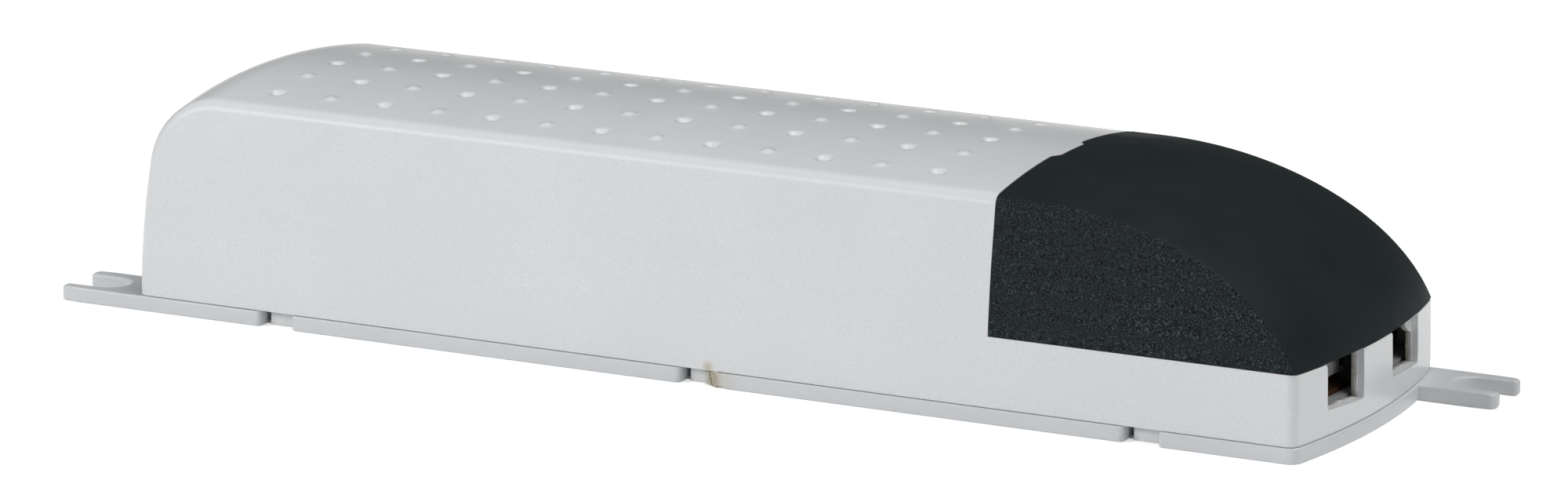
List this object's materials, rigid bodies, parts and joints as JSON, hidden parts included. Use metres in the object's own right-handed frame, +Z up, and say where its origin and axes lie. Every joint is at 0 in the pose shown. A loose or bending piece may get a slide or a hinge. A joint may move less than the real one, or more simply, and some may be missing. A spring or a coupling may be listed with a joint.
{
  "type": "electronic transformer",
  "caption": "Long moulded converter housing with a crowned dimpled top, a dark curved cap over the wiring end and two diagonal slotted ears on its base plate.",
  "frame": {"origin": "middle of the underside of the base plate, ears included", "axes": "+X towards the wiring end under the dark cap, +Z up from the mounting surface, -Y is the front side of the picture"},
  "size_m": [0.1716, 0.0432, 0.0284],
  "materials": {
    "aluminium": "mill finish",
    "base_plastic": "light grey moulded plastic, smoother than the cover",
    "board_laminate": "brown phenolic laminate",
    "bobbin_plastic": "black moulded plastic",
    "brass": "plain",
    "cap_plastic": "charcoal moulded plastic, grained cheeks and a smoother nose",
    "clamp_plastic": "light grey polyamide",
    "coated_core": "ferrite with a green epoxy coat",
    "copper_wire": "enamelled copper wire",
    "epoxy_black": "moulded epoxy",
    "ferrite": "sintered ferrite",
    "film_red": "dark red plastic case",
    "film_yellow": "yellow plastic case",
    "fuse_ceramic": "white ceramic",
    "housing_plastic": "light grey moulded plastic with a fine spark-eroded grain",
    "resistor_tan": "tan lacquer",
    "secondary_sleeve": "red insulated wire",
    "terminal_plastic": "light grey polyamide",
    "varistor_blue": "blue epoxy dip",
    "zinc_steel": "zinc plated"
  },
  "bodies": {
    "root": {"base_plate": "base_plastic", "base_resistor_1": "resistor_tan", "base_resistor_2": "resistor_tan", "bridge_capacitor_1": "film_red", "bridge_capacitor_2": "film_red", "choke_core": "coated_core", "choke_winding_1": "copper_wire", "choke_winding_2": "copper_wire", "circuit_board": "board_laminate", "clip_screw": "zinc_steel", "drive_transformer_core": "ferrite", "drive_transformer_winding": "copper_wire", "heat_spreader": "aluminium", "input_fuse": "fuse_ceramic", "lamp_cable_clamp": "bobbin_plastic", "lamp_clamp_screw_1": "zinc_steel", "lamp_clamp_screw_2": "zinc_steel", "lamp_terminal_block": "terminal_plastic", "lamp_terminal_cage_1": "brass", "lamp_terminal_cage_2": "brass", "lamp_terminal_screw_1": "zinc_steel", "lamp_terminal_screw_2": "zinc_steel", "mains_cable_clamp": "clamp_plastic", "mains_clamp_screw_1": "zinc_steel", "mains_clamp_screw_2": "zinc_steel", "mains_terminal_block": "terminal_plastic", "mains_terminal_cage_1": "brass", "mains_terminal_cage_2": "brass", "mains_terminal_screw_1": "zinc_steel", "mains_terminal_screw_2": "zinc_steel", "power_transistor_1": "epoxy_black", "power_transistor_2": "epoxy_black", "rectifier_diode_1": "epoxy_black", "rectifier_diode_2": "epoxy_black", "rectifier_diode_3": "epoxy_black", "rectifier_diode_4": "epoxy_black", "start_capacitor": "resistor_tan", "start_resistor": "resistor_tan", "suppression_capacitor": "film_yellow", "terminal_cap": "cap_plastic", "top_cover": "housing_plastic", "transformer_bobbin": "bobbin_plastic", "transformer_core_front": "ferrite", "transformer_core_rear": "ferrite", "transformer_primary_winding": "copper_wire", "transformer_secondary_winding": "secondary_sleeve", "transistor_clip": "zinc_steel", "trigger_diode": "epoxy_black", "varistor": "varistor_blue"}
  },
  "joints": []
}
